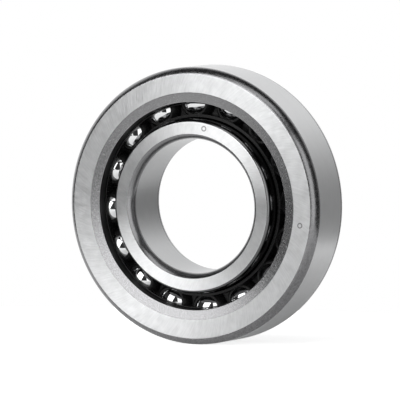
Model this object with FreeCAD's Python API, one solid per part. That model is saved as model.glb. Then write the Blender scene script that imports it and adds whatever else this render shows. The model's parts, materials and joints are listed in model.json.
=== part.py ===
"""Single-row angular contact ball bearing with a steep contact angle, for screw drives.

The axis of rotation is Y, with the origin in the middle of the bearing. The front, where the
outer ring has its high shoulder, faces -Y. Profiles are drawn as (radius, axial) points.
"""
import FreeCAD
import Part
import math
import os

# ---- boundary dimensions -------------------------------------------------------------------
BORE_DIAMETER = 30.0
OUTSIDE_DIAMETER = 62.0
RING_WIDTH = 15.0

# ---- corners of the rings, across the face and along the cylinder ---------------------------
OUTSIDE_CORNER_FACE = 1.44
OUTSIDE_CORNER_FRONT = 2.1
OUTSIDE_CORNER_REAR = 2.5
BORE_CORNER_FACE = 1.18
BORE_CORNER_FRONT = 2.06
BORE_CORNER_REAR = 2.44
SHOULDER_CORNER_FACE = 0.65
SHOULDER_CORNER_DEPTH = 1.0

# ---- balls and raceways ----------------------------------------------------------------------
BALL_DIAMETER = 7.938
PITCH_OFFSET = 0.25          # of the pitch radius outward from the middle of the section
CONTACT_ANGLE = 60.0         # degrees, from the radial plane
BALL_SPACING_WEB = 1.0       # least room between neighbouring balls
FIRST_BALL_ANGLE = 3.8       # degrees, from +X toward +Z, where the set of balls stands at rest
GROOVE_CONFORMITY = 0.52     # groove radius as a share of the ball diameter
RUNNING_CLEARANCE = 0.02     # between a ball and each groove, along the contact line
INNER_LOW_SHOULDER = 0.31    # height of the inner ring's low shoulder over its groove
OUTER_LOW_SHOULDER = 0.71    # depth of the outer ring's low shoulder over its groove

# ---- shallow relief beside the high shoulders ------------------------------------------------
RELIEF_WIDTH = 2.17
RELIEF_DEPTH = 0.3

# ---- cage ------------------------------------------------------------------------------------
CAGE_CLEARANCE = 0.2         # from the lands of both rings
CAGE_END_WALL = 0.93         # past the ball, at the rim that is farther from the axis
CAGE_FRONT_FALL = 0.95       # from the front lip back to the inner rim
CAGE_REAR_FALL = 0.4         # of the rear end face, from its outer rim to its inner one
CAGE_WEB_THICKNESS = 3.8     # of the conical band between the two end rings
CAGE_EDGE_RADIUS = 0.12
POCKET_CLEARANCE = 0.1       # between a ball and its spherical pocket

# ---- open front of the cage, where the balls stand out of their cups -------------------------
LIP_THICKNESS = 0.26         # of the hoop that runs round in front of the balls
RIM_THICKNESS = 0.7          # of the inner rim that the cups stand on
BALL_SHOW = 1.05             # how far a ball stands out of its cup
CUP_WALL = 0.32
HOLLOW_DEPTH = 2.2           # of the hollows between the cups

bore_radius = BORE_DIAMETER / 2
outside_radius = OUTSIDE_DIAMETER / 2
front = -RING_WIDTH / 2
rear = RING_WIDTH / 2

ball_radius = BALL_DIAMETER / 2
pitch_radius = (bore_radius + outside_radius) / 2 + PITCH_OFFSET
ball_share = (BALL_DIAMETER + BALL_SPACING_WEB) / (2 * pitch_radius)
ball_count = int(math.pi / math.asin(ball_share))
ball_pitch = 360.0 / ball_count

groove_radius = GROOVE_CONFORMITY * BALL_DIAMETER
groove_shift = groove_radius - ball_radius - RUNNING_CLEARANCE
contact = math.radians(CONTACT_ANGLE)
to_outer = (math.cos(contact), -math.sin(contact))
to_inner = (-math.cos(contact), math.sin(contact))

outer_groove = (pitch_radius - groove_shift * to_outer[0], -groove_shift * to_outer[1])
inner_groove = (pitch_radius - groove_shift * to_inner[0], -groove_shift * to_inner[1])
high_shoulder = pitch_radius
outer_low_shoulder = outer_groove[0] + groove_radius - OUTER_LOW_SHOULDER
inner_low_shoulder = inner_groove[0] - groove_radius + INNER_LOW_SHOULDER

cage_inner = inner_low_shoulder + CAGE_CLEARANCE
cage_lip = high_shoulder - CAGE_CLEARANCE
hollow_inner = cage_inner + RIM_THICKNESS
hollow_outer = cage_lip - LIP_THICKNESS
cup_front = BALL_SHOW - ball_radius


def point(place):
    """A (radius, axial) pair as a point of the profile plane."""
    return FreeCAD.Vector(place[0], place[1], 0)


def line(start, end):
    return Part.LineSegment(point(start), point(end)).toShape()


def arc_about(centre, start, end, side):
    """The arc from start to end about centre that passes on the given side of it."""
    radius = math.hypot(start[0] - centre[0], start[1] - centre[1])
    length = math.hypot(side[0], side[1])
    middle = (centre[0] + radius * side[0] / length, centre[1] + radius * side[1] / length)
    return Part.Arc(point(start), point(middle), point(end)).toShape()


def corner(on_face, on_cylinder):
    """A rounded corner: one arc, tangent to whichever wall it takes more of."""
    across = on_cylinder[0] - on_face[0]
    along = on_cylinder[1] - on_face[1]
    square = across * across + along * along
    if abs(along) >= abs(across):
        centre = (on_cylinder[0] - square / (2 * across), on_cylinder[1])
    else:
        centre = (on_face[0], on_face[1] + square / (2 * along))
    middle = ((on_face[0] + on_cylinder[0]) / 2, (on_face[1] + on_cylinder[1]) / 2)
    side = (middle[0] - centre[0], middle[1] - centre[1])
    return arc_about(centre, on_face, on_cylinder, side)


def groove_edge(centre, land, end):
    """Where the groove about centre meets a land, toward the given end (-1 front, 1 rear)."""
    reach = math.sqrt(groove_radius ** 2 - (land - centre[0]) ** 2)
    return (land, centre[1] + end * reach)


def revolve(edges):
    """The solid that a closed profile sweeps about the Y axis."""
    face = Part.Face(Part.Wire(edges))
    solid = face.revolve(FreeCAD.Vector(0, 0, 0), FreeCAD.Vector(0, 1, 0), 360)
    return Part.Solid(solid.Shells[0]) if solid.ShapeType != "Solid" else solid


def chain(steps, first):
    """Edges through the steps, each a point to draw a line to or a (maker, point) pair."""
    edges = []
    place = first
    for make, target in steps:
        edges.append(make(place, target))
        place = target
    return edges


def cylinder_to_face(on_cylinder, on_face):
    return corner(on_face, on_cylinder)


def outer_ring():
    """High shoulder in front with a shallow relief beside it, low shoulder at the rear."""
    face_outer = outside_radius - OUTSIDE_CORNER_FACE
    groove_front = groove_edge(outer_groove, high_shoulder, -1)
    groove_rear = groove_edge(outer_groove, outer_low_shoulder, 1)

    def groove(start, end):
        return arc_about(outer_groove, start, end, (1, 0))

    steps = [
        (line, (high_shoulder + RELIEF_WIDTH, front)),
        (line, (face_outer, front)),
        (corner, (outside_radius, front + OUTSIDE_CORNER_FRONT)),
        (line, (outside_radius, rear - OUTSIDE_CORNER_REAR)),
        (cylinder_to_face, (face_outer, rear)),
        (line, (outer_low_shoulder + SHOULDER_CORNER_FACE, rear)),
        (corner, (outer_low_shoulder, rear - SHOULDER_CORNER_DEPTH)),
        (line, groove_rear),
        (groove, groove_front),
        (line, (high_shoulder, front + RELIEF_DEPTH)),
    ]
    return revolve(chain(steps, (high_shoulder, front + RELIEF_DEPTH)))


def inner_ring():
    """Low shoulder in front, high shoulder with a shallow relief beside it at the rear."""
    face_inner = bore_radius + BORE_CORNER_FACE
    groove_front = groove_edge(inner_groove, inner_low_shoulder, -1)
    groove_rear = groove_edge(inner_groove, high_shoulder, 1)

    def groove(start, end):
        return arc_about(inner_groove, start, end, (-1, 0))

    steps = [
        (line, (high_shoulder - RELIEF_WIDTH, rear)),
        (line, (face_inner, rear)),
        (corner, (bore_radius, rear - BORE_CORNER_REAR)),
        (line, (bore_radius, front + BORE_CORNER_FRONT)),
        (cylinder_to_face, (face_inner, front)),
        (line, (inner_low_shoulder - SHOULDER_CORNER_FACE, front)),
        (corner, (inner_low_shoulder, front + SHOULDER_CORNER_DEPTH)),
        (line, groove_front),
        (groove, groove_rear),
        (line, (high_shoulder, rear - RELIEF_DEPTH)),
    ]
    return revolve(chain(steps, (high_shoulder, rear - RELIEF_DEPTH)))


def around(shape, index):
    """The shape, drawn on the +X side, turned to the place of the ball with this index."""
    turned = shape.copy()
    angle = FIRST_BALL_ANGLE + ball_pitch * index
    turned.rotate(FreeCAD.Vector(0, 0, 0), FreeCAD.Vector(0, -1, 0), angle)
    return turned


def ball():
    return Part.makeSphere(ball_radius, FreeCAD.Vector(pitch_radius, 0, 0))


def band_point(radius, side):
    """The point of one face of the conical band, square to the contact line, at a radius."""
    half = side * CAGE_WEB_THICKNESS / 2
    start = (pitch_radius + half * to_outer[0], half * to_outer[1])
    return (radius, start[1] + (radius - start[0]) / math.tan(contact))


def polygon(corners):
    """The solid that a closed polygon of (radius, axial) corners sweeps about the Y axis."""
    return revolve([line(corners[i - 1], corners[i]) for i in range(len(corners))])


def cage_blank():
    """A stepped front end ring and a rear one, joined by a conical band."""
    rear_outer = outer_low_shoulder - CAGE_CLEARANCE
    rear_inner = high_shoulder + CAGE_CLEARANCE
    end = ball_radius + CAGE_END_WALL
    blank = polygon([
        (cage_inner, -end + CAGE_FRONT_FALL),
        (hollow_inner, -end + CAGE_FRONT_FALL),
        (hollow_inner, cup_front),
        (hollow_outer, cup_front),
        (hollow_outer, -end),
        (cage_lip, -end),
        band_point(cage_lip, 1),
        band_point(rear_outer, 1),
        (rear_outer, end),
        (rear_inner, end - CAGE_REAR_FALL),
        band_point(rear_inner, -1),
        band_point(cage_inner, -1),
    ])
    rims = [edge for edge in blank.Edges if edge.Closed]
    return blank.makeFillet(CAGE_EDGE_RADIUS, rims)


def cup(radius):
    """A sphere about the centre of a ball: a pocket, or the outside of the cup round it."""
    return Part.makeSphere(radius, FreeCAD.Vector(pitch_radius, 0, 0))


def hollows():
    """What is taken out between the cups: a groove round the front, less the cups themselves."""
    groove = polygon([
        (hollow_inner, front),
        (hollow_outer, front),
        (hollow_outer, cup_front + HOLLOW_DEPTH),
        (hollow_inner, cup_front + HOLLOW_DEPTH),
    ])
    outside = cup(ball_radius + POCKET_CLEARANCE + CUP_WALL)
    return groove.cut([around(outside, index) for index in range(ball_count)])


def cage():
    solid = cage_blank()
    pocket = cup(ball_radius + POCKET_CLEARANCE)
    cuts = [around(pocket, index) for index in range(ball_count)]
    return solid.cut(cuts + [hollows()])


def write(name, shape):
    shape.exportStep(os.path.join("parts", name + ".step"))


os.makedirs("parts", exist_ok=True)
write("outer_ring", outer_ring())
write("inner_ring", inner_ring())
write("cage", cage())
for index in range(ball_count):
    write("ball_%02d" % (index + 1), around(ball(), index))
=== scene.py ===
"""The finish of a single-row angular contact ball bearing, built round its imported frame."""
import json
import math

import bmesh
import bpy
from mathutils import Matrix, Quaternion, Vector


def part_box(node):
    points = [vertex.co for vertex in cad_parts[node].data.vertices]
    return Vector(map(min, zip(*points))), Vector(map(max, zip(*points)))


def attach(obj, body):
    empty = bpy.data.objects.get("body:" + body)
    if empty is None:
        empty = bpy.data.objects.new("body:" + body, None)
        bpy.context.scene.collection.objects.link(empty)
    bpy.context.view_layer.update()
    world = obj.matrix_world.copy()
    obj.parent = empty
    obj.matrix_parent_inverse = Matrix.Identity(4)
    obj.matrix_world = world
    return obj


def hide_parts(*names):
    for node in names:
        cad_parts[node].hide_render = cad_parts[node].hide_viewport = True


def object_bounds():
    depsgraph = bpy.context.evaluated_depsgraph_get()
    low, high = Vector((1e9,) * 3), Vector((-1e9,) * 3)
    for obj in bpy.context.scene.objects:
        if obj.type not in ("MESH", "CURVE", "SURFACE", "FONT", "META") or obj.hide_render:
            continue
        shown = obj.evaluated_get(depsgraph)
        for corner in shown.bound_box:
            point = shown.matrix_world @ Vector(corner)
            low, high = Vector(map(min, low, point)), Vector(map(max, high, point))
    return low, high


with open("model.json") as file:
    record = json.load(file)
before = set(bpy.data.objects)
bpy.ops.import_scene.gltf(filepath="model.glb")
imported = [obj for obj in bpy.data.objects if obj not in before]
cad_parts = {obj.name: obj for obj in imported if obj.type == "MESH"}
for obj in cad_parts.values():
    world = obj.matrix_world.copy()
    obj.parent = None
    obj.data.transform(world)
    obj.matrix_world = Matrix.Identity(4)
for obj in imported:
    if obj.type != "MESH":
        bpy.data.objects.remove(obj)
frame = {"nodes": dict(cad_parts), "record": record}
cad_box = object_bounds()

# ---- Outer ring ------------------------------------------------------------------------------
# A hardened ring of bearing steel, turned to shape and then ground on its two faces, its outside
# and its groove. The corners and the shallow relief beside the high shoulder stay as turned.
MM = 0.001
RING_STEPS = 288             # round a full turn
ARC_STEP = math.radians(7)   # the longest step along a rounded stretch of a profile
OUTSIDE_CORNER_FACE = 1.44 * MM
OUTSIDE_CORNER_FRONT = 2.1 * MM
OUTSIDE_CORNER_REAR = 2.5 * MM
SHOULDER_CORNER_FACE = 0.65 * MM
SHOULDER_CORNER_DEPTH = 1.0 * MM
RELIEF_WIDTH = 2.17 * MM
RELIEF_DEPTH = 0.3 * MM
CONTACT_ANGLE = math.radians(60)
GROOVE_CONFORMITY = 0.52     # groove radius as a share of the ball diameter
RUNNING_CLEARANCE = 0.02 * MM
OUTER_LOW_SHOULDER = 0.71 * MM
FLAT_MARGIN = 0.13 * MM      # beside a rim, the only part of a flat that turns toward it
WELD = 0.001 * MM            # points closer than this are one
RIM_ANGLE = math.radians(35)
EDGE_BREAK = 0.06 * MM       # every sharp rim is stoned off by this much
EDGE_STEPS = 3
CREASE_ANGLE = math.radians(28)

OUTER_STEEL = (0.63, 0.635, 0.64)
TURNED_STEEL = (0.3, 0.3, 0.305)
CORNER_STEEL = (0.24, 0.24, 0.245)
HONED_STEEL = (0.64, 0.645, 0.65)
OUTER_LAND_STEEL = (0.26, 0.26, 0.265)
LAY_DETAIL = 3
CLOUD_DETAIL = 4
LAY_RANGE = (0.7, 1.3)       # the sum of lay and cloud at the darkest and at the lightest
QUARTER_TURN = 0.25          # a highlight is drawn out across the lay
MARK_RADIUS = 0.5 * MM       # of the small circle etched on each front face
MARK_LINE = 0.17 * MM
MARK_DEPTH = 0.72            # how much darker than the steel
OUTER_MARK = (27.2 * MM, math.radians(-7.1))  # its radius, and its angle from +X toward +Z

outside_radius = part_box("outer_ring")[1].x
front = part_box("outer_ring")[0].y
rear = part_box("outer_ring")[1].y
pitch_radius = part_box("inner_ring")[1].x
ball_radius = (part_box("ball_01")[1].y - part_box("ball_01")[0].y) / 2
groove_radius = GROOVE_CONFORMITY * 2 * ball_radius
groove_shift = groove_radius - ball_radius - RUNNING_CLEARANCE
to_outer = Vector((math.cos(CONTACT_ANGLE), -math.sin(CONTACT_ANGLE), 0))


def corner_centre(on_face, on_cylinder):
    """The centre of the arc through two ends of a corner, tangent to the wall it takes more of."""
    step = on_cylinder - on_face
    square = step.x * step.x + step.y * step.y
    if abs(step.y) >= abs(step.x):
        return Vector((on_cylinder.x - square / (2 * step.x), on_cylinder.y, 0))
    return Vector((on_face.x, on_face.y + square / (2 * step.y), 0))


def groove_edge(centre, land, end):
    """Where a groove meets a land, toward an end: -1 the front, 1 the rear."""
    reach = math.sqrt(groove_radius ** 2 - (land - centre.x) ** 2)
    return Vector((land, centre.y + end * reach, 0))


def spin_stretch(ring, start, end, finish, centre):
    """Adds to a ring the band that one stretch of its profile sweeps, straight or an arc."""
    band = bmesh.new()
    first = band.verts.new(start)
    if centre is None:
        margin = (end - start).normalized() * FLAT_MARGIN
        for place in (start + margin, end - margin, end):
            first = bmesh.ops.extrude_vert_indiv(band, verts=[first])["verts"][0]
            first.co = place
    else:
        one, two = start - centre, end - centre
        turn = math.atan2(one.x * two.y - one.y * two.x, one.dot(two))
        steps = math.ceil(abs(turn) / ARC_STEP)
        bmesh.ops.spin(band, geom=[first], cent=centre, axis=(0, 0, 1), angle=turn, steps=steps)
    bmesh.ops.spin(band, geom=band.verts[:] + band.edges[:], cent=(0, 0, 0), axis=(0, 1, 0),
                   angle=math.tau, steps=RING_STEPS, use_merge=True)
    for face in band.faces:
        face.material_index = finish
    data = bpy.data.meshes.new("band")
    band.to_mesh(data)
    band.free()
    ring.from_mesh(data)
    bpy.data.meshes.remove(data)


def make_piece(name, mesh, finishes):
    """An object from a bmesh, which it uses up, with its materials."""
    data = bpy.data.meshes.new(name)
    mesh.to_mesh(data)
    mesh.free()
    for finish in finishes:
        data.materials.append(finish)
    piece = bpy.data.objects.new(name, data)
    bpy.context.scene.collection.objects.link(piece)
    return piece


def ring_piece(name, stretches, finishes):
    """A closed ring with broken rims, from stretches of a start, end, finish and arc's centre."""
    mesh = bmesh.new()
    for start, end, finish, centre in stretches:
        spin_stretch(mesh, start, end, finishes.index(finish), centre)
    bmesh.ops.remove_doubles(mesh, verts=mesh.verts, dist=WELD)
    bmesh.ops.recalc_face_normals(mesh, faces=mesh.faces)
    rims = [edge for edge in mesh.edges if edge.calc_face_angle(0) > RIM_ANGLE]
    bmesh.ops.bevel(mesh, geom=rims, offset=EDGE_BREAK, affect="EDGES", segments=EDGE_STEPS,
                    profile=0.5, material=-1)
    for face in mesh.faces:
        face.smooth = True
    for edge in mesh.edges:
        edge.smooth = edge.calc_face_angle(0) < CREASE_ANGLE
    return make_piece(name, mesh, finishes)


def feed(tree, socket, value):
    """Gives an input its value, which is another node's output or a plain number or colour."""
    if isinstance(value, bpy.types.NodeSocket):
        tree.links.new(value, socket)
    else:
        socket.default_value = value


def add_math(tree, operation, *values):
    node = tree.nodes.new("ShaderNodeMath")
    node.operation = operation
    for socket, value in zip(node.inputs, values):
        feed(tree, socket, value)
    return node.outputs[0]


def add_ramp(tree, value, start, end, low, high, kind="LINEAR"):
    """Goes from low to high as a value goes from start to end."""
    node = tree.nodes.new("ShaderNodeMapRange")
    node.interpolation_type = kind
    node.inputs["From Min"].default_value = start
    node.inputs["From Max"].default_value = end
    node.inputs["To Min"].default_value = low
    node.inputs["To Max"].default_value = high
    feed(tree, node.inputs["Value"], value)
    return node.outputs[0]


def add_distance(tree, place, centre):
    node = tree.nodes.new("ShaderNodeVectorMath")
    node.operation = "DISTANCE"
    feed(tree, node.inputs[0], place)
    feed(tree, node.inputs[1], centre)
    return node.outputs["Value"]


def add_noise(tree, place, scale, detail):
    node = tree.nodes.new("ShaderNodeTexNoise")
    feed(tree, node.inputs["Vector"], place)
    feed(tree, node.inputs["Scale"], scale)
    node.inputs["Detail"].default_value = detail
    return node.outputs["Fac"]


def add_bump(tree, height, depth, strength=1):
    node = tree.nodes.new("ShaderNodeBump")
    node.inputs["Distance"].default_value = depth
    node.inputs["Strength"].default_value = strength
    feed(tree, node.inputs["Height"], height)
    return node.outputs[0]


def new_group(name, inputs, outputs):
    """A node group with named inputs, each with its kind, and outputs that are all values."""
    group = bpy.data.node_groups.new(name, "ShaderNodeTree")
    for socket, kind in inputs.items():
        group.interface.new_socket(socket, in_out="INPUT", socket_type="NodeSocket" + kind)
    for socket in outputs:
        group.interface.new_socket(socket, in_out="OUTPUT", socket_type="NodeSocketFloat")
    given = group.nodes.new("NodeGroupInput").outputs
    out = group.nodes.new("NodeGroupOutput").inputs
    return group, given, out


def add_group(tree, group, values):
    node = tree.nodes.new("ShaderNodeGroup")
    node.node_tree = group
    for name, value in values.items():
        feed(tree, node.inputs[name], value)
    return node.outputs


def lay_group():
    """Fine marks of a tool or a wheel, round the axis or swirled across a face, and clouding."""
    group, given, out = new_group("circular_lay", {
        "Place": "Vector", "Streaks round": "Float", "Grooves per mm": "Float",
        "Clouds per m": "Float", "Swirl per m": "Float"}, ("Lay", "Cloud"))
    place = group.nodes.new("ShaderNodeSeparateXYZ")
    feed(group, place.inputs[0], given["Place"])
    x, y, z = place.outputs
    square = add_math(group, "ADD", add_math(group, "MULTIPLY", x, x),
                      add_math(group, "MULTIPLY", z, z))
    radius = add_math(group, "SQRT", square)
    along = add_math(group, "MULTIPLY", add_math(group, "ADD", radius, y), 1 / MM)
    swirl = group.nodes.new("ShaderNodeVectorRotate")
    swirl.rotation_type = "Y_AXIS"
    feed(group, swirl.inputs["Vector"], given["Place"])
    feed(group, swirl.inputs["Angle"], add_math(group, "MULTIPLY", radius, given["Swirl per m"]))
    swirled = group.nodes.new("ShaderNodeSeparateXYZ")
    feed(group, swirled.inputs[0], swirl.outputs[0])
    turn = group.nodes.new("ShaderNodeCombineXYZ")
    for side, socket in ((swirled.outputs[0], 0), (swirled.outputs[2], 1)):
        share = add_math(group, "DIVIDE", side, radius)
        feed(group, turn.inputs[socket],
             add_math(group, "MULTIPLY", share, given["Streaks round"]))
    feed(group, turn.inputs[2], add_math(group, "MULTIPLY", along, given["Grooves per mm"]))
    feed(group, out["Lay"], add_noise(group, turn.outputs[0], 1, LAY_DETAIL))
    feed(group, out["Cloud"],
         add_noise(group, given["Place"], given["Clouds per m"], CLOUD_DETAIL))
    return group


def etched_circle_group():
    """A small circle etched beside the rim of a face, where a ring runs highest: 1 on its line."""
    group, given, out = new_group("etched_circle", {
        "Place": "Vector", "Centre": "Vector", "Radius": "Float", "Line": "Float"}, ("Mask",))
    away = add_distance(group, given["Place"], given["Centre"])
    off = add_math(group, "ABSOLUTE", add_math(group, "SUBTRACT", away, given["Radius"]))
    share = add_math(group, "DIVIDE", off, given["Line"])
    mask = add_math(group, "SUBTRACT", 1, add_math(group, "MULTIPLY", share, share))
    feed(group, out["Mask"], add_math(group, "MAXIMUM", mask, 0))
    return group


circular_lay = lay_group()
etched_circle = etched_circle_group()


def new_finish(name):
    """A new material, its nodes and its shader."""
    material = bpy.data.materials.new(name)
    material.use_nodes = True
    tree = material.node_tree
    return material, tree, tree.nodes["Principled BSDF"]


def object_place(tree):
    return tree.nodes.new("ShaderNodeTexCoord").outputs["Object"]


def steel_finish(name, colour, rough, anisotropy, streaks, grooves, clouds, depth, tone, swirl=0,
                 mark=None):
    """Steel with a lay of streaks round, grooves per mm, clouds per m and swirl per m.

    Depth is that of its grooves, tone how far lay and clouding change colour and roughness, and
    mark the radius and the angle where a circle is etched.
    """
    material, tree, steel = new_finish(name)
    steel.inputs["Metallic"].default_value = 1
    steel.inputs["Anisotropic"].default_value = anisotropy
    steel.inputs["Anisotropic Rotation"].default_value = QUARTER_TURN
    place = object_place(tree)
    lay = add_group(tree, circular_lay, {
        "Place": place, "Streaks round": streaks, "Grooves per mm": grooves,
        "Clouds per m": clouds, "Swirl per m": swirl})
    mixed = add_math(tree, "ADD", lay["Lay"], lay["Cloud"])
    shade = add_ramp(tree, mixed, *LAY_RANGE, 1 - tone, 1 + tone)
    light = shade
    if mark is not None:
        radius, angle = mark
        centre = (radius * math.cos(angle), front, radius * math.sin(angle))
        etched = add_group(tree, etched_circle, {
            "Place": place, "Centre": centre, "Radius": MARK_RADIUS, "Line": MARK_LINE})
        darker = add_math(tree, "MULTIPLY", etched["Mask"], MARK_DEPTH)
        light = add_math(tree, "MULTIPLY", light, add_math(tree, "SUBTRACT", 1, darker))
    tint = tree.nodes.new("ShaderNodeVectorMath")
    tint.operation = "SCALE"
    tint.inputs[0].default_value = colour
    feed(tree, tint.inputs["Scale"], light)
    feed(tree, steel.inputs["Base Color"], tint.outputs[0])
    feed(tree, steel.inputs["Roughness"], add_math(tree, "MULTIPLY", shade, rough))
    feed(tree, steel.inputs["Normal"], add_bump(tree, lay["Lay"], depth))
    tangent = tree.nodes.new("ShaderNodeTangent")
    tangent.direction_type = "RADIAL"
    tangent.axis = "Y"
    feed(tree, steel.inputs["Tangent"], tangent.outputs[0])
    return material


outer_face_steel = steel_finish("outer_face_steel", OUTER_STEEL, rough=0.36, anisotropy=0.82,
                                streaks=95, grooves=0.4, clouds=500, depth=0.035 * MM, tone=0.11,
                                swirl=-17, mark=OUTER_MARK)
turned_steel = steel_finish("turned_steel", TURNED_STEEL, rough=0.24, anisotropy=0.3,
                            streaks=60, grooves=3, clouds=4200, depth=0.003 * MM, tone=0.18)
corner_steel = steel_finish("corner_steel", CORNER_STEEL, rough=0.27, anisotropy=0.5,
                            streaks=30, grooves=3, clouds=1400, depth=0.003 * MM, tone=0.16)
honed_steel = steel_finish("honed_steel", HONED_STEEL, rough=0.1, anisotropy=0.2,
                           streaks=30, grooves=20, clouds=400, depth=0.0002 * MM, tone=0.02)
outer_land_steel = steel_finish("outer_land_steel", OUTER_LAND_STEEL, rough=0.4, anisotropy=0.2,
                                streaks=30, grooves=12, clouds=400, depth=0.0004 * MM, tone=0.05)
outside_steel = steel_finish("outside_steel", HONED_STEEL, rough=0.3, anisotropy=0.8,
                             streaks=16, grooves=5, clouds=300, depth=0.001 * MM, tone=0.04)


def outer_profile():
    """The outer ring's profile, outward from its relief and round to its groove."""
    groove = Vector((pitch_radius, 0, 0)) - to_outer * groove_shift
    land = groove.x + groove_radius - OUTER_LOW_SHOULDER
    face_edge = outside_radius - OUTSIDE_CORNER_FACE
    front_face = Vector((face_edge, front, 0))
    rear_face = Vector((face_edge, rear, 0))
    front_wall = Vector((outside_radius, front + OUTSIDE_CORNER_FRONT, 0))
    rear_wall = Vector((outside_radius, rear - OUTSIDE_CORNER_REAR, 0))
    relief_rim = Vector((pitch_radius + RELIEF_WIDTH, front, 0))
    relief_foot = Vector((pitch_radius, front + RELIEF_DEPTH, 0))
    shoulder_face = Vector((land + SHOULDER_CORNER_FACE, rear, 0))
    shoulder_wall = Vector((land, rear - SHOULDER_CORNER_DEPTH, 0))
    shoulder_corner = corner_centre(shoulder_face, shoulder_wall)
    groove_front = groove_edge(groove, pitch_radius, -1)
    groove_rear = groove_edge(groove, land, 1)
    return [
        (relief_foot, relief_rim, turned_steel, None),
        (relief_rim, front_face, outer_face_steel, None),
        (front_face, front_wall, corner_steel, corner_centre(front_face, front_wall)),
        (front_wall, rear_wall, outside_steel, None),
        (rear_wall, rear_face, corner_steel, corner_centre(rear_face, rear_wall)),
        (rear_face, shoulder_face, outer_face_steel, None),
        (shoulder_face, shoulder_wall, outer_land_steel, shoulder_corner),
        (shoulder_wall, groove_rear, outer_land_steel, None),
        (groove_rear, groove_front, honed_steel, groove),
        (groove_front, relief_foot, outer_land_steel, None),
    ]


outer_ring = ring_piece("outer_ring_finish", outer_profile(), [
    outer_face_steel, turned_steel, corner_steel, honed_steel, outer_land_steel, outside_steel])
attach(outer_ring, "outer_ring")
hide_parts("outer_ring")

# ---- Inner ring ------------------------------------------------------------------------------
# The same steel as the outer ring, with the low shoulder in front and the high one, with the same
# relief, at the rear. It is ground on its faces, its groove and its bore, which sits on the shaft.
BORE_CORNER_FACE = 1.18 * MM
BORE_CORNER_FRONT = 2.06 * MM
BORE_CORNER_REAR = 2.44 * MM
INNER_LOW_SHOULDER = 0.31 * MM
INNER_STEEL = (0.68, 0.685, 0.69)
BORE_CORNER_STEEL = (0.25, 0.25, 0.255)
# Painted shade: the lands and low shoulder corner are painted dark for the shade of cage and
# rings.
INNER_LAND_PAINTED_SHADE_STEEL = (0.15, 0.15, 0.153)
# Painted shade: the bore is the outside's ground steel painted darker, for the shade inside it.
BORE_PAINTED_SHADE_STEEL = (0.5, 0.505, 0.51)
INNER_MARK = (17.7 * MM, math.radians(79.7))

inner_face_steel = steel_finish("inner_face_steel", INNER_STEEL, rough=0.3, anisotropy=0.98,
                                streaks=65, grooves=0.5, clouds=700, depth=0.018 * MM, tone=0.07,
                                swirl=-25, mark=INNER_MARK)
bore_corner_steel = steel_finish("bore_corner_steel", BORE_CORNER_STEEL, rough=0.24,
                                 anisotropy=0.6, streaks=5, grooves=9, clouds=1500,
                                 depth=0.0012 * MM, tone=0.1)
# Painted shade: steel far darker than the faces, for the shade on the inner lands.
inner_land_painted_shade_steel = steel_finish("inner_land_painted_shade_steel", INNER_LAND_PAINTED_SHADE_STEEL, rough=0.13, anisotropy=0.4,
                                streaks=30, grooves=12, clouds=400, depth=0.0004 * MM, tone=0.05)
# Painted shade: the same ground steel as the outside, with a darker colour inside the bore.
bore_painted_shade_steel = steel_finish("bore_painted_shade_steel", BORE_PAINTED_SHADE_STEEL, rough=0.3, anisotropy=0.8,
                          streaks=10, grooves=5, clouds=300, depth=0.001 * MM, tone=0.04)
bore = next(mount for mount in frame["record"]["mounts"] if mount["name"] == "bore")
bore_radius = bore["dims"]["r_mm"] * MM


def inner_profile():
    """The inner ring's profile, inward from its relief and round to its groove."""
    groove = Vector((pitch_radius, 0, 0)) + to_outer * groove_shift
    land = groove.x - groove_radius + INNER_LOW_SHOULDER
    face_edge = bore_radius + BORE_CORNER_FACE
    front_face = Vector((face_edge, front, 0))
    rear_face = Vector((face_edge, rear, 0))
    front_wall = Vector((bore_radius, front + BORE_CORNER_FRONT, 0))
    rear_wall = Vector((bore_radius, rear - BORE_CORNER_REAR, 0))
    relief_rim = Vector((pitch_radius - RELIEF_WIDTH, rear, 0))
    relief_foot = Vector((pitch_radius, rear - RELIEF_DEPTH, 0))
    shoulder_face = Vector((land - SHOULDER_CORNER_FACE, front, 0))
    shoulder_wall = Vector((land, front + SHOULDER_CORNER_DEPTH, 0))
    shoulder_corner = corner_centre(shoulder_face, shoulder_wall)
    groove_front = groove_edge(groove, land, -1)
    groove_rear = groove_edge(groove, pitch_radius, 1)
    return [
        (relief_foot, relief_rim, turned_steel, None),
        (relief_rim, rear_face, inner_face_steel, None),
        (rear_face, rear_wall, bore_corner_steel, corner_centre(rear_face, rear_wall)),
        (rear_wall, front_wall, bore_painted_shade_steel, None),
        (front_wall, front_face, bore_corner_steel, corner_centre(front_face, front_wall)),
        (front_face, shoulder_face, inner_face_steel, None),
        (shoulder_face, shoulder_wall, inner_land_painted_shade_steel, shoulder_corner),
        (shoulder_wall, groove_front, inner_land_painted_shade_steel, None),
        (groove_front, groove_rear, honed_steel, groove),
        (groove_rear, relief_foot, inner_land_painted_shade_steel, None),
    ]


inner_ring = ring_piece("inner_ring_finish", inner_profile(), [
    inner_face_steel, turned_steel, bore_corner_steel, honed_steel, inner_land_painted_shade_steel, bore_painted_shade_steel])
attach(inner_ring, "inner_ring")
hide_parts("inner_ring")

# ---- Balls -----------------------------------------------------------------------------------
# Bearing steel balls, lapped to a mirror, with a thin haze of oil. Nothing holds them but the
# grooves and the pockets of the cage, in which they roll.
BALL_STEEL = (0.72, 0.725, 0.73, 1)
BALL_DIVISIONS = 5
HAZE_PER_M = 900
HAZE_DETAIL = 4
CLEAR_ROUGHNESS = 0.021
HAZY_ROUGHNESS = 0.056

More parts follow.
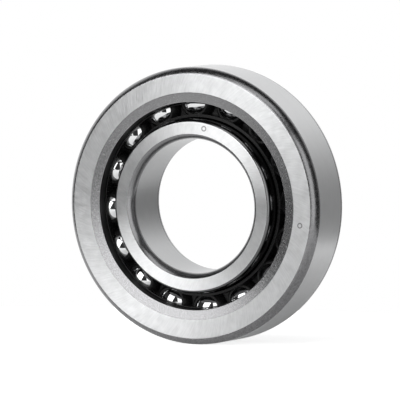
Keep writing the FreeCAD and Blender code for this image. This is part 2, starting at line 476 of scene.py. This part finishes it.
ball_steel, tree, lapped = new_finish("lapped_ball_steel")
lapped.inputs["Metallic"].default_value = 1
lapped.inputs["Base Color"].default_value = BALL_STEEL
haze = add_noise(tree, object_place(tree), HAZE_PER_M, HAZE_DETAIL)
feed(tree, lapped.inputs["Roughness"],
     add_ramp(tree, haze, 0, 1, CLEAR_ROUGHNESS, HAZY_ROUGHNESS))

for node in sorted(name for name in frame["nodes"] if name.startswith("ball_")):
    low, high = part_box(node)
    mesh = bmesh.new()
    bmesh.ops.create_icosphere(mesh, subdivisions=BALL_DIVISIONS, radius=ball_radius)
    bmesh.ops.translate(mesh, verts=mesh.verts, vec=(low + high) / 2)
    for face in mesh.faces:
        face.smooth = True
    ball = make_piece(node + "_lapped", mesh, [ball_steel])
    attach(ball, node)
    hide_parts(node)

# ---- Cage ------------------------------------------------------------------------------------
# One moulding of black glass fibre reinforced polyamide. It snaps over the balls, which show
# through a window each, and its skin has the soft shine of the polished mould.
CAGE_BLACK = (0.011, 0.011, 0.0112, 1)
CAGE_SPECULAR = 0.25
FIBRES_PER_M = 2600
FIBRE_DETAIL = 3
FIBRE_DEPTH = 0.004 * MM
FIBRE_STRENGTH = 0.5
SMOOTH_SKIN = 0.2
ROUGH_SKIN = 0.36

polyamide, tree, skin = new_finish("black_polyamide")
skin.inputs["Base Color"].default_value = CAGE_BLACK
skin.inputs["Specular IOR Level"].default_value = CAGE_SPECULAR
fibre = add_noise(tree, object_place(tree), FIBRES_PER_M, FIBRE_DETAIL)
feed(tree, skin.inputs["Roughness"], add_ramp(tree, fibre, 0, 1, SMOOTH_SKIN, ROUGH_SKIN))
feed(tree, skin.inputs["Normal"], add_bump(tree, fibre, FIBRE_DEPTH, FIBRE_STRENGTH))
cage = frame["nodes"]["cage"]
cage.data.materials.clear()
cage.data.materials.append(polyamide)

# ---- Floor -----------------------------------------------------------------------------------
# A round sheet of white paper that the bearing stands on. The camera sees it nearly white, with a
# painted shade round the foot over its real shadow, and the steel sees a painted shadow on it
# close to the bearing.
PAPER_RADIUS = 0.15
PAPER_CENTRE = (0, -0.07)
PAPER_SIDES = 96
PAPER_WHITE = (0.86, 0.86, 0.86, 1)
WHITE = (1, 1, 1, 1)
PAPER_ROUGHNESS = 0.9
# Painted shadow seen by steel: the paper glows least at this centre and more out to this radius.
PAINTED_SHADE_CENTRE = (0.025, 0)    # the middle of the shade round the bearing's foot
PAINTED_SHADE_RADIUS = 0.1
PAINTED_SHADE_GLOW = 0.1             # what the paper adds to its own light, as steel sees it
PAPER_GLOW = 0.6
# Painted shade seen by the camera: the paper glows less at the foot than on the open paper.
PAINTED_FOOT_SHADE_GLOW = 0.75             # the same as the camera sees it, from the foot to the open paper
OPEN_GLOW = 1
FOOT_RADIUS = 0.02
OPEN_RADIUS = 0.07


def seen_by(tree):
    """What looks at a surface: 1 for the camera, and 1 for metal or glass."""
    ray = tree.nodes.new("ShaderNodeLightPath")
    shiny = add_math(tree, "MAXIMUM", ray.outputs["Is Glossy Ray"],
                     ray.outputs["Is Transmission Ray"])
    return ray.outputs["Is Camera Ray"], shiny


paper, tree, sheet = new_finish("white_paper")
sheet.inputs["Base Color"].default_value = PAPER_WHITE
sheet.inputs["Roughness"].default_value = PAPER_ROUGHNESS
sheet.inputs["Specular IOR Level"].default_value = 0
sheet.inputs["Emission Color"].default_value = WHITE
away = add_distance(tree, object_place(tree), (*PAINTED_SHADE_CENTRE, cad_box[0].z))
by_camera, by_steel = seen_by(tree)
# The glow holds a painted shadow for steel and a painted shade round the foot for the camera.
shade = add_ramp(tree, away, 0, PAINTED_SHADE_RADIUS, PAINTED_SHADE_GLOW, PAPER_GLOW, "SMOOTHSTEP")
whiter = add_ramp(tree, away, FOOT_RADIUS, OPEN_RADIUS, PAINTED_FOOT_SHADE_GLOW, OPEN_GLOW, "SMOOTHSTEP")
glow = add_math(tree, "MAXIMUM", add_math(tree, "MULTIPLY", by_steel, shade),
                add_math(tree, "MULTIPLY", by_camera, whiter))
feed(tree, sheet.inputs["Emission Strength"], glow)

mesh = bmesh.new()
bmesh.ops.create_circle(mesh, cap_ends=True, segments=PAPER_SIDES, radius=PAPER_RADIUS)
bmesh.ops.translate(mesh, verts=mesh.verts, vec=(*PAPER_CENTRE, cad_box[0].z))
make_piece("floor", mesh, [paper])

# ---- Room ------------------------------------------------------------------------------------
# The camera sees a white room. Metal and glass see it white behind the bearing, with a dim doorway
# on the right, and dark above and in front. It lights all else at a plain level.
ROOM_DARK = 0.03
ROOM_LIGHT = 0.15
WALL_TURN = 0.45             # how far the white wall is turned to the left of straight behind
WALL_FADE = (0.2, 0.65)
CEILING_FADE = (0.55, 0.85)
CEILING_DARK = 0.1
DOORWAY = (0.38, 0.9, -0.1)  # the direction of its middle
DOORWAY_FADE = (0.12, 0.75)
DOORWAY_DARK = 0.38
WALL_LIGHT = 1.3             # away from the doorway

world = bpy.data.worlds.new("studio")
world.use_nodes = True
bpy.context.scene.world = world
tree = world.node_tree
room = tree.nodes["Background"]
room.inputs["Color"].default_value = WHITE
toward = tree.nodes.new("ShaderNodeTexCoord").outputs["Generated"]
axes = tree.nodes.new("ShaderNodeSeparateXYZ")
feed(tree, axes.inputs[0], toward)
x, y, z = axes.outputs
behind = add_math(tree, "SUBTRACT", y, add_math(tree, "MULTIPLY", x, WALL_TURN))
wall = add_ramp(tree, behind, *WALL_FADE, ROOM_DARK, 1, "SMOOTHSTEP")
ceiling = add_ramp(tree, z, *CEILING_FADE, 1, CEILING_DARK, "SMOOTHSTEP")
doorway = add_ramp(tree, add_distance(tree, toward, DOORWAY), *DOORWAY_FADE, DOORWAY_DARK,
                   WALL_LIGHT, "SMOOTHSTEP")
by_camera, by_steel = seen_by(tree)
shown = add_math(tree, "MULTIPLY", add_math(tree, "MULTIPLY", wall, doorway),
                 add_math(tree, "MULTIPLY", ceiling, by_steel))
plain = add_math(tree, "MULTIPLY", add_math(tree, "SUBTRACT", 1, by_steel), ROOM_LIGHT)
feed(tree, room.inputs["Strength"],
     add_math(tree, "MAXIMUM", add_math(tree, "ADD", shown, plain), by_camera))

# ---- Soft boxes ------------------------------------------------------------------------------
# Four soft boxes stand in front of the bearing and face it: a large one on the left, a tall one on
# the right, one above, and a small one below that lights the lower balls.
BOX_DISTANCE = 0.9


def soft_box(name, azimuth, elevation, light, roll=0, distance=BOX_DISTANCE):
    """A soft box between two azimuths and two elevations, in degrees as seen from the bearing.

    Light is how bright its face is, with 1 as white, and roll turns it about its middle.
    """
    across = math.radians(sum(azimuth) / 2)
    up = math.radians(sum(elevation) / 2)
    back = Vector((math.sin(across) * math.cos(up), -math.cos(across) * math.cos(up),
                   math.sin(up)))
    lamp = bpy.data.lights.new(name, "AREA")
    lamp.shape = "RECTANGLE"
    lamp.size = 2 * distance * math.tan(math.radians(azimuth[1] - azimuth[0]) / 2)
    lamp.size_y = 2 * distance * math.tan(math.radians(elevation[1] - elevation[0]) / 2)
    lamp.energy = light * math.pi * lamp.size * lamp.size_y
    box = bpy.data.objects.new(name, lamp)
    box.location = back * distance
    facing = back.to_track_quat("Z", "Y") @ Quaternion((0, 0, 1), math.radians(roll))
    box.rotation_euler = facing.to_euler()
    box.visible_camera = False
    bpy.context.scene.collection.objects.link(box)


soft_box("left_box", azimuth=(-35, 4), elevation=(0, 46), light=2.8, roll=-18)
soft_box("high_box", azimuth=(4, 44), elevation=(48, 74), light=1.4)
soft_box("low_box", azimuth=(-8, 3), elevation=(-14, -4), light=1.0, distance=0.95)
soft_box("right_box", azimuth=(32, 74), elevation=(-17, 37), light=1.5)

# ---- Camera ----------------------------------------------------------------------------------
# A long lens far off, to the right of the axis and a little above it. The small shift sets the
# bearing where it stands in the frame.
CAMERA_DISTANCE = 1.5
CAMERA_AZIMUTH = math.radians(27.089)
CAMERA_ELEVATION = math.radians(4.299)
LENS = 603.5
SHIFT = (-0.01616, 0.01033)
CAMERA_REACH = 20            # how far off it still sees

camera_data = bpy.data.cameras.new("camera")
camera_data.lens = LENS
camera_data.shift_x, camera_data.shift_y = SHIFT
camera_data.clip_end = CAMERA_REACH
camera = bpy.data.objects.new("camera", camera_data)
back = Vector((math.sin(CAMERA_AZIMUTH) * math.cos(CAMERA_ELEVATION),
               -math.cos(CAMERA_AZIMUTH) * math.cos(CAMERA_ELEVATION),
               math.sin(CAMERA_ELEVATION)))
camera.location = back * CAMERA_DISTANCE
camera.rotation_euler = back.to_track_quat("Z", "Y").to_euler()
bpy.context.scene.collection.objects.link(camera)
bpy.context.scene.camera = camera
bpy.context.scene.view_settings.view_transform = "Standard"
